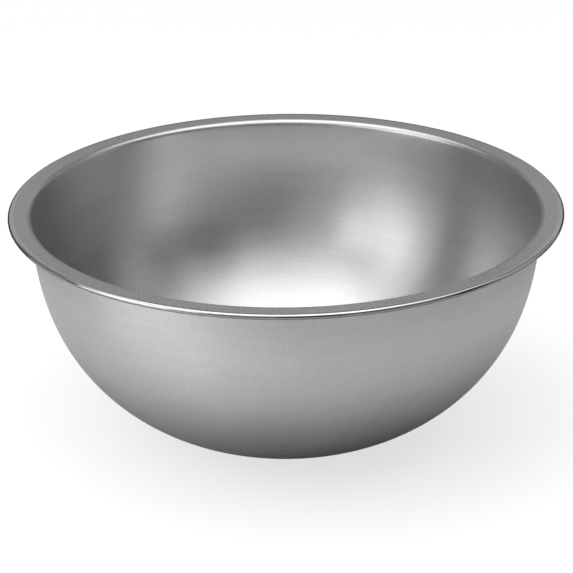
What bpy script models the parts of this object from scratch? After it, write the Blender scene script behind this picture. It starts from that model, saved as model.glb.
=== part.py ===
"""A stainless steel mixing bowl, turned from one sheet.

Metres, +Z up. The origin is the centre of the flat base, on the surface that the bowl stands on.
The sheet is drawn as a path along its outer face, from the centre of the base up the wall, out
along the flange and round the curled bead, and then given its thickness.
"""

import math

import bpy

# Driving dimensions
RIM_DIAMETER = 0.337  # over the bead
HEIGHT = 0.142
SHEET = 0.00095  # 20 gauge
BEAD_DIAMETER = 0.0032

BASE_FLAT_RADIUS = 0.046
BASE_CORNER_RADIUS = 0.025
BASE_CORNER_END = math.radians(10.8)  # slope of the sheet where the corner meets the belly
BELLY_RADIUS = 0.1255
BELLY_END = math.radians(71)
SHOULDER_RADIUS = 0.155
WALL_SLOPE = math.radians(86)  # the straight top of the wall, 4 degrees off upright
RIM_FILLET_RADIUS = 0.0035  # inside face, where the wall turns out into the flange
BEAD_CURL = math.radians(240)  # the curl stays open, so the edge can drain and dry

# Facets
AROUND = 72
LARGEST_SAG = 0.0002  # between a facet and the true curve
LARGEST_TURN = math.radians(30)

# Look
STEEL_COLOR = (0.56, 0.57, 0.57, 1.0)
STEEL_ROUGHNESS = 0.3


class SheetPath:
    """A walk along the sheet's outer face, which keeps a point on each face at every step."""

    def __init__(self, radius, height):
        self.radius = radius
        self.height = height
        self.heading = 0.0
        self.outer_face = []
        self.inner_face = []
        self.mark()

    def mark(self):
        self.outer_face.append((self.radius, self.height))
        self.inner_face.append(
            (
                self.radius - SHEET * math.sin(self.heading),
                self.height + SHEET * math.cos(self.heading),
            )
        )

    def straight(self, length):
        self.radius += length * math.cos(self.heading)
        self.height += length * math.sin(self.heading)
        self.mark()

    def arc_to(self, heading, arc_radius):
        """Turns to the new heading along an arc of this radius, measured on the outer face."""
        start = self.heading
        turn = heading - start
        steps = math.ceil(abs(turn) / largest_turn(arc_radius))
        for step in range(1, steps + 1):
            self.heading = start + turn * step / steps
            chord = 2 * arc_radius * math.sin(abs(turn) / steps / 2)
            along = self.heading - turn / steps / 2
            self.radius += chord * math.cos(along)
            self.height += chord * math.sin(along)
            self.mark()


def largest_turn(arc_radius):
    """The most that one facet of an arc may turn before it sags too far from the curve."""
    return min(LARGEST_TURN, 2 * math.acos(1 - LARGEST_SAG / arc_radius))


def bowl_path():
    """The bowl's sheet from the centre of the base to the end of the curl."""
    fillet = RIM_FILLET_RADIUS - SHEET
    path = SheetPath(0, 0)
    path.straight(BASE_FLAT_RADIUS)
    path.arc_to(BASE_CORNER_END, BASE_CORNER_RADIUS)
    path.arc_to(BELLY_END, BELLY_RADIUS)
    path.arc_to(WALL_SLOPE, SHOULDER_RADIUS)

    fillet_rise = fillet * (1 - math.cos(WALL_SLOPE))
    wall_rise = HEIGHT - SHEET - fillet_rise - path.height
    path.straight(wall_rise / math.sin(WALL_SLOPE))
    path.arc_to(0, fillet)

    flange_end = (RIM_DIAMETER - BEAD_DIAMETER) / 2
    path.straight(flange_end - path.radius)
    path.arc_to(-BEAD_CURL, BEAD_DIAMETER / 2 - SHEET)
    return path


def steel():
    material = bpy.data.materials.new("stainless_steel")
    material.use_nodes = True
    shader = material.node_tree.nodes["Principled BSDF"]
    shader.inputs["Base Color"].default_value = STEEL_COLOR
    shader.inputs["Metallic"].default_value = 1.0
    shader.inputs["Roughness"].default_value = STEEL_ROUGHNESS
    return material


def make_bowl():
    """The section of the sheet, up the inner face and back down the outer one, turned on Z."""
    path = bowl_path()
    section = path.inner_face + path.outer_face[::-1]
    points = [(radius, 0, height) for radius, height in section]
    edges = [(i, i + 1) for i in range(len(points) - 1)]

    mesh = bpy.data.meshes.new("bowl")
    mesh.from_pydata(points, edges, [])
    bowl = bpy.data.objects.new("bowl", mesh)
    bowl.data.materials.append(steel())
    bpy.context.collection.objects.link(bowl)

    turning = bowl.modifiers.new("turning", "SCREW")
    turning.axis = "Z"
    turning.steps = AROUND
    turning.render_steps = AROUND
    turning.use_merge_vertices = True
    turning.merge_threshold = 0.00001
    turning.use_smooth_shade = True
    return bowl


for old in list(bpy.data.objects):
    bpy.data.objects.remove(old)
make_bowl()
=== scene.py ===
"""The looks of the stainless steel mixing bowl: its surface, satin finish, studio and camera."""

import math

import bpy
import numpy as np
from mathutils import Matrix, Vector


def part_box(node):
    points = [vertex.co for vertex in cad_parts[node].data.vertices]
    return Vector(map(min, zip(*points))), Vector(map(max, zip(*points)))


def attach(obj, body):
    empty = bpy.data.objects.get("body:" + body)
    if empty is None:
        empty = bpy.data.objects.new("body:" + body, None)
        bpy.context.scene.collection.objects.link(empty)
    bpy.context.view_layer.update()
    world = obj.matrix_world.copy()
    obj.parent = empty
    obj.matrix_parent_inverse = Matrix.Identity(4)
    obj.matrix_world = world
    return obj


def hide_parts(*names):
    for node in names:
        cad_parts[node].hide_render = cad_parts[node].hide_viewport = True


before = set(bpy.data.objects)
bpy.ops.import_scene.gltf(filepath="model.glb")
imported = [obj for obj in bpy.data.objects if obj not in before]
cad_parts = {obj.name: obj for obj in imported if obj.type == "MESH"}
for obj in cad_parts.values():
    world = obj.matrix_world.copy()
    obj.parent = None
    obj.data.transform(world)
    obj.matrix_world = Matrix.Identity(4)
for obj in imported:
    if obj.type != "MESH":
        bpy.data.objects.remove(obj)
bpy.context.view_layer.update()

LOW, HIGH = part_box("bowl")
RIM_RADIUS = (HIGH.x - LOW.x) / 2
HEIGHT = HIGH.z - LOW.z

# The sheet, as the CAD has it, in metres
SHEET = 0.00095
BEAD_RADIUS = 0.0016
BASE_FLAT_RADIUS = 0.046
BASE_CORNER_RADIUS = 0.025
BASE_CORNER_END = math.radians(10.8)
BELLY_RADIUS = 0.1255
BELLY_END = math.radians(71)
SHOULDER_RADIUS = 0.155
WALL_SLOPE = math.radians(86)
RIM_FILLET_RADIUS = 0.0035
BEAD_CURL = math.radians(240)

# How finely the visible bowl is made
AROUND = 288
LONGEST_STEP = 0.003
LARGEST_TURN = math.radians(10)

# Steel
STEEL_TINT = (0.657, 0.661, 0.663)
WALL_ROUGHNESS = 0.325
FLANGE_ROUGHNESS = 0.27
BEAD_ROUGHNESS = 0.15
ANISOTROPY = 0.6
ANISOTROPY_TURN = 0.25
# How much darker the tone is painted on the underside of the bead: painted shade
UNDER_BEAD_PAINTED_SHADE = 0.6
FLANGE_SMOOTHING = 0.7
BUMP_STRENGTH = 0.6
BUMP_DISTANCE = 0.00001

# How far each pattern of the finish moves the roughness, the tone and the relief
PATTERN_AMOUNTS = {
    "lines": (0.012, 0.04, 0.5),
    "bands": (0.006, 0.02, 0.3),
    "grain": (0.006, 0.05, 0.35),
    "clouds": (0.01, 0.02, 0.0),
}
FOR_ROUGHNESS, FOR_TONE, FOR_RELIEF = range(3)

# Camera
CAMERA_ELEVATION = math.radians(21.22)
CAMERA_DISTANCE = 10 * RIM_RADIUS
CAMERA_ROLL = math.radians(-0.58)
CAMERA_LENS = 174.2
AIM = Vector((-0.0001, 0, 0.0883))

# The table that the bowl stands on and mirrors, and the white surround that the camera sees
TABLE_HALF = 1.2
TABLE_BELOW_FLOOR = 0.0004
TABLE_TINT = (1, 1, 0.98)
TABLE_TONE = 0.86
# Painted light on the table: its colour is painted dark away from TABLE_MIDDLE and painted darker
# under the bowl
TABLE_FAR_PAINTED_SHADE = 0.05
TABLE_PAINTED_SHADOW_UNDER_BOWL = 0.56
TABLE_MIDDLE = (-0.05, -0.15, 0)
DOME_RADIUS = 5.5
DOME_STEPS = 24
FLOOR_GLOW = 0.7  # near the bowl, before the light that falls on it

# The sky light rises from the horizon to this, and fades towards one side
SKY_LOW, SKY_HIGH = 0.05, 0.22
DARK_SIDE_AZIMUTH = 135
DARK_SIDE_FACTOR = 0.12

# Softboxes that face the bowl: azimuth and elevation, distance, width, height and radiance
SOFTBOXES = {
    "light_left_low": (-115, 12, 1.6, 1.16, 0.6, 1.57),
    "light_left_high": (-128, 34, 0.8, 0.5, 0.3, 1.3),
    "light_left_side": (-103, 34, 1.6, 0.58, 0.6, 0.8),
    "light_left_back": (-75, 8, 1.8, 0.8, 0.5, 0.4),
    "light_front_left": (-158, 28, 1.6, 0.9, 0.5, 0.33),
    "light_front_low": (135, 13, 2.0, 1.6, 0.5, 0.34),
    "light_right": (72, 20, 1.4, 1.4, 0.9, 0.17),
    "light_right_narrow": (80, 20, 1.4, 0.62, 0.9, 0.22),
    "light_back": (0, 26, 2.0, 3.6, 0.36, 0.27),
    "light_back_low": (0, 8, 1.8, 1.3, 0.5, 0.25),
}


class SheetPath:
    """A walk along the sheet's outer face, which keeps a point on each face at every step."""

    def __init__(self):
        self.radius = 0.0
        self.height = 0.0
        self.heading = 0.0
        self.outer_face = []
        self.inner_face = []
        self.mark()

    def mark(self):
        self.outer_face.append((self.radius, self.height))
        lean = SHEET * math.sin(self.heading)
        rise = SHEET * math.cos(self.heading)
        self.inner_face.append((self.radius - lean, self.height + rise))

    def forward(self, length, heading):
        self.radius += length * math.cos(heading)
        self.height += length * math.sin(heading)

    def straight(self, length):
        steps = max(1, math.ceil(length / LONGEST_STEP))
        for _ in range(steps):
            self.forward(length / steps, self.heading)
            self.mark()

    def arc_to(self, heading, arc_radius):
        """Turns to the new heading along an arc of this radius, measured on the outer face."""
        turn = heading - self.heading
        steps = math.ceil(abs(turn) / min(LARGEST_TURN, LONGEST_STEP / arc_radius))
        chord = 2 * arc_radius * math.sin(abs(turn) / steps / 2)
        for _ in range(steps):
            self.forward(chord, self.heading + turn / steps / 2)
            self.heading += turn / steps
            self.mark()


def bowl_path():
    """The bowl's sheet from the centre of the base to the end of the curl."""
    path = SheetPath()
    path.straight(BASE_FLAT_RADIUS)
    path.arc_to(BASE_CORNER_END, BASE_CORNER_RADIUS)
    path.arc_to(BELLY_END, BELLY_RADIUS)
    path.arc_to(WALL_SLOPE, SHOULDER_RADIUS)

    fillet = RIM_FILLET_RADIUS - SHEET
    fillet_rise = fillet * (1 - math.cos(WALL_SLOPE))
    wall_rise = HEIGHT - SHEET - fillet_rise - path.height
    path.straight(wall_rise / math.sin(WALL_SLOPE))
    path.arc_to(0, fillet)

    path.straight(RIM_RADIUS - BEAD_RADIUS - path.radius)
    path.arc_to(-BEAD_CURL, BEAD_RADIUS - SHEET)
    return path


def piece_from(name, points, faces):
    mesh = bpy.data.meshes.new(name)
    mesh.from_pydata(points, [], faces)
    piece = bpy.data.objects.new(name, mesh)
    bpy.context.scene.collection.objects.link(piece)
    return piece


def turned(name, section):
    """A piece turned on Z from (radius, height) points that start and end on the axis."""
    angles = np.arange(AROUND) * math.tau / AROUND
    rings = np.array(section[1:-1])
    x = rings[:, :1] * np.cos(angles)
    y = rings[:, :1] * np.sin(angles)
    z = np.repeat(rings[:, 1:], AROUND, axis=1)
    points = np.stack([x, y, z], axis=-1).reshape(-1, 3).tolist()
    first_pole = len(points)
    last_pole = first_pole + 1
    points += [(0, 0, section[0][1]), (0, 0, section[-1][1])]

    faces = []
    last_ring = (len(rings) - 1) * AROUND
    for i in range(AROUND):
        j = (i + 1) % AROUND
        faces.append((first_pole, i, j))
        faces.append((last_pole, last_ring + j, last_ring + i))
        for ring in range(0, last_ring, AROUND):
            faces.append((ring + i, ring + AROUND + i, ring + AROUND + j, ring + j))
    piece = piece_from(name, points, faces)
    piece.data.shade_smooth()
    return piece


def level_square(name, half, height):
    corners = [(-half, -half), (half, -half), (half, half), (-half, half)]
    return piece_from(name, [(x, y, height) for x, y in corners], [(0, 1, 2, 3)])


class Nodes:
    """A short way to make and join the nodes of one material or world."""

    def __init__(self, owner, shader="Principled BSDF"):
        owner.use_nodes = True
        self.tree = owner.node_tree
        self.shader = self.tree.nodes[shader]

    def feed(self, socket, value):
        if isinstance(value, bpy.types.NodeSocket):
            self.tree.links.new(value, socket)
        else:
            socket.default_value = value

    def finish(self, **values):
        """Feeds the shader's inputs, named in lower case with underscores."""
        for socket in self.shader.inputs:
            key = socket.name.lower().replace(" ", "_")
            if key in values:
                self.feed(socket, values.pop(key))
        assert not values, f"the shader has no inputs {list(values)}"

    def add(self, kind, output, inputs, **settings):
        """Makes a node, feeds its inputs by name or number and gives back one output."""
        node = self.tree.nodes.new("ShaderNode" + kind)
        for key, value in settings.items():
            setattr(node, key, value)
        for key, value in inputs.items():
            self.feed(node.inputs[key], value)
        return node.outputs[output]

    def math(self, operation, *values):
        return self.add("Math", 0, dict(enumerate(values)), operation=operation)

    def vector(self, operation, *values):
        return self.add("VectorMath", 0, dict(enumerate(values)), operation=operation)

    def scaled(self, vector, factor):
        return self.add("VectorMath", 0, {0: vector, 3: factor}, operation="SCALE")

    def measure(self, operation, *vectors):
        """The length of a vector, or the distance or dot product of two."""
        return self.add("VectorMath", "Value", dict(enumerate(vectors)), operation=operation)

    def place(self):
        """The point on the surface, in the frame's own metres."""
        return self.add("TexCoord", "Object", {})

    def across_axis(self, place):
        return self.vector("MULTIPLY", place, (1, 1, 0))

    def spread(self, value, low, high, to_low, to_high, smooth=True):
        """Maps low..high to to_low..to_high and holds the ends."""
        inputs = {
            "Value": value,
            "From Min": low,
            "From Max": high,
            "To Min": to_low,
            "To Max": to_high,
        }
        kind = "SMOOTHSTEP" if smooth else "LINEAR"
        return self.add("MapRange", "Result", inputs, interpolation_type=kind)

    def ring_noise(self, across, along, detail):
        """Noise drawn out round the axis: `across` metres wide and `along` radians long."""
        place = self.place()
        x_and_y = self.across_axis(place)
        height = self.vector("MULTIPLY", place, (0, 0, 1 / across))
        around = self.scaled(self.vector("NORMALIZE", x_and_y), 1 / along)
        where = {
            "Vector": self.vector("ADD", around, height),
            "W": self.math("MULTIPLY", self.measure("LENGTH", x_and_y), 1 / across),
            "Scale": 1.0,
            "Detail": detail,
            "Roughness": 0.6,
        }
        return self.add("TexNoise", "Fac", where, noise_dimensions="4D")

    def plain_noise(self, size, detail):
        where = {"Vector": self.place(), "Scale": 1 / size, "Detail": detail, "Roughness": 0.55}
        return self.add("TexNoise", "Fac", where)


def steel():
    """Satin stainless steel, polished round the axis, with a burnished bead at the rim and
    painted shade under the bead.
    """
    material = bpy.data.materials.new("satin_steel")
    nodes = Nodes(material)
    patterns = {
        "lines": nodes.spread(nodes.ring_noise(0.0011, 0.22, 2), 0.25, 0.75, -1, 1, smooth=False),
        "bands": nodes.spread(nodes.ring_noise(0.011, 1.2, 1), 0.3, 0.7, -1, 1, smooth=False),
        "grain": nodes.spread(nodes.plain_noise(0.0014, 2), 0.3, 0.7, -1, 1, smooth=False),
        "clouds": nodes.spread(nodes.plain_noise(0.045, 3), 0.3, 0.7, -1, 1, smooth=False),
    }

    place = nodes.place()
    radius = nodes.measure("LENGTH", nodes.across_axis(place))
    height = nodes.add("SeparateXYZ", "Z", {"Vector": place})
    bead_start = RIM_RADIUS - 2 * BEAD_RADIUS
    bead_middle = HEIGHT - BEAD_RADIUS
    flange = nodes.spread(radius, bead_start - 0.011, bead_start - 0.007, 0, 1)
    bead = nodes.spread(radius, bead_start - 0.0006, bead_start + 0.0006, 0, 1)
    # Mask for the painted shade on the underside of the bead
    low_down = nodes.spread(height, bead_middle - 0.0005, bead_middle + 0.0003, 1, 0)
    under_bead_painted_shade = nodes.math("MULTIPLY", bead, low_down)

    def layers(start, purpose):
        total = start
        for name, amounts in PATTERN_AMOUNTS.items():
            if amounts[purpose]:
                total = nodes.math("MULTIPLY_ADD", patterns[name], amounts[purpose], total)
        return total

    def less(total, mask, share):
        """The total, less this share of it where the mask is full."""
        return nodes.math("MULTIPLY", total, nodes.math("MULTIPLY_ADD", mask, -share, 1.0))

    roughness = layers(WALL_ROUGHNESS, FOR_ROUGHNESS)
    for mask, step in (
        (flange, FLANGE_ROUGHNESS - WALL_ROUGHNESS),
        (bead, BEAD_ROUGHNESS - FLANGE_ROUGHNESS),
    ):
        roughness = nodes.math("MULTIPLY_ADD", mask, step, roughness)

    # Painted shade: the tone is darker on the underside of the bead, giving a dark line under the
    # rim
    tone = less(layers(1.0, FOR_TONE), under_bead_painted_shade, UNDER_BEAD_PAINTED_SHADE)
    relief = less(layers(0.0, FOR_RELIEF), flange, FLANGE_SMOOTHING)
    bump = {"Strength": BUMP_STRENGTH, "Distance": BUMP_DISTANCE, "Height": relief}
    nodes.finish(
        base_color=nodes.scaled(STEEL_TINT, tone),
        metallic=1.0,
        roughness=roughness,
        normal=nodes.add("Bump", "Normal", bump),
        anisotropic=ANISOTROPY,
        anisotropic_rotation=ANISOTROPY_TURN,
        tangent=nodes.add("Tangent", "Tangent", {}, direction_type="RADIAL", axis="Z"),
    )
    return material


def make_bowl():
    path = bowl_path()
    bowl = turned("bowl_surface", path.inner_face + path.outer_face[::-1])
    bowl.data.materials.append(steel())
    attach(bowl, "root")
    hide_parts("bowl")


def make_table():
    """The table top: pale and softly glossy, painted darker under the bowl as painted shadow, and
    painted dark further out as painted fall-off of light.
    """
    material = bpy.data.materials.new("table_pale")
    nodes = Nodes(material)
    place = nodes.place()
    from_bowl = nodes.measure("LENGTH", place)
    from_middle = nodes.measure("DISTANCE", place, TABLE_MIDDLE)
    # Painted shadow: the table's colour is darker under and near the bowl
    painted_shadow = nodes.spread(from_bowl, 0.06, 0.22, TABLE_PAINTED_SHADOW_UNDER_BOWL, 1.0)
    # Painted fall-off of light: the table's colour fades to near black away from TABLE_MIDDLE
    painted_light_falloff = nodes.spread(from_middle, 0.36, 0.8, TABLE_TONE, TABLE_FAR_PAINTED_SHADE)
    nodes.finish(
        base_color=nodes.scaled(TABLE_TINT, nodes.math("MULTIPLY", painted_light_falloff, painted_shadow)),
        roughness=0.25,
        specular_ior_level=0.6,
    )
    table = level_square("table", TABLE_HALF, -TABLE_BELOW_FLOOR)
    table.data.materials.append(material)
    table.visible_camera = False


def make_white_surround():
    """The white floor and the white dome over it, which only the camera sees."""
    material = bpy.data.materials.new("surround_white")
    nodes = Nodes(material)
    distance = nodes.measure("LENGTH", nodes.place())
    nodes.finish(
        base_color=(0.5, 0.5, 0.5, 1),
        roughness=1.0,
        specular_ior_level=0.0,
        emission_color=(1, 1, 1, 1),
        emission_strength=nodes.spread(distance, 0.5, 2.5, FLOOR_GLOW, 1.0),
    )

    rises = [math.pi * (step / DOME_STEPS - 0.5) for step in range(DOME_STEPS + 1)]
    arc = [(DOME_RADIUS * math.cos(rise), DOME_RADIUS * math.sin(rise)) for rise in rises]
    for piece in (level_square("floor", DOME_RADIUS, 0), turned("backdrop", arc)):
        piece.data.materials.append(material)
        piece.visible_diffuse = False
        piece.visible_glossy = False
        piece.visible_transmission = False
        piece.visible_shadow = False


def make_camera():
    rim_centre = Vector((0, 0, HEIGHT))
    camera = bpy.data.objects.new("camera", bpy.data.cameras.new("camera"))
    bpy.context.scene.collection.objects.link(camera)
    away = Vector((0, -math.cos(CAMERA_ELEVATION), math.sin(CAMERA_ELEVATION)))
    camera.location = rim_centre + away * CAMERA_DISTANCE
    facing = (AIM - camera.location).to_track_quat("-Z", "Y").to_matrix()
    camera.rotation_euler = (facing @ Matrix.Rotation(CAMERA_ROLL, 3, "Z")).to_euler()
    camera.data.lens = CAMERA_LENS
    camera.data.clip_start = 0.05
    camera.data.clip_end = 50
    bpy.context.scene.camera = camera


def toward(azimuth, elevation):
    """The unit vector at an azimuth from +Y towards +X and an elevation, both in degrees."""
    azimuth, elevation = math.radians(azimuth), math.radians(elevation)
    flat = math.cos(elevation)
    return Vector((flat * math.sin(azimuth), flat * math.cos(azimuth), math.sin(elevation)))


def softbox(name, centre, width, height, radiance, target=(0, 0, 0.1), spread=180):
    """An area light that looks at the target and glows evenly with this radiance."""
    light = bpy.data.lights.new(name, "AREA")
    light.shape = "RECTANGLE"
    light.size, light.size_y = width, height
    light.energy = radiance * math.pi * width * height
    light.spread = math.radians(spread)
    lamp = bpy.data.objects.new(name, light)
    lamp.location = centre
    lamp.rotation_euler = (Vector(target) - Vector(centre)).to_track_quat("-Z", "Y").to_euler()
    lamp.visible_camera = False
    bpy.context.scene.collection.objects.link(lamp)


def make_lights():
    softbox("light_overhead_wide", (0, 0.1, 1.6), 3.0, 1.7, 0.83, target=(0, 0.1, 0))
    softbox("light_overhead_near", (-0.02, -0.18, 0.8), 0.76, 1.02, 0.9, target=(-0.02, -0.18, 0))
    for name, (azimuth, elevation, distance, width, height, radiance) in SOFTBOXES.items():
        softbox(name, toward(azimuth, elevation) * distance, width, height, radiance)
    # A narrow beam that brightens the patch of table mirrored on the left of the bowl
    table_patch = (-0.31, -0.38, 0)
    softbox("light_table", (-0.62, -0.64, 0.8), 0.3, 0.3, 0.5, target=table_patch, spread=30)


def make_world():
    world = bpy.data.worlds.new("studio")
    bpy.context.scene.world = world
    nodes = Nodes(world, "Background")
    direction = nodes.add("TexCoord", "Generated", {})
    rise = nodes.add("SeparateXYZ", "Z", {"Vector": direction})
    dark_side = nodes.measure("DOT_PRODUCT", direction, toward(DARK_SIDE_AZIMUTH, 0))
    sky = nodes.spread(rise, 0.15, 0.45, SKY_LOW, SKY_HIGH)
    fade = nodes.spread(dark_side, -0.1, 0.9, 1.0, DARK_SIDE_FACTOR)
    nodes.finish(color=(1, 1, 1, 1), strength=nodes.math("MULTIPLY", sky, fade))


make_bowl()
make_table()
make_white_surround()
make_camera()
make_world()
make_lights()
bpy.context.scene.view_settings.view_transform = "Standard"
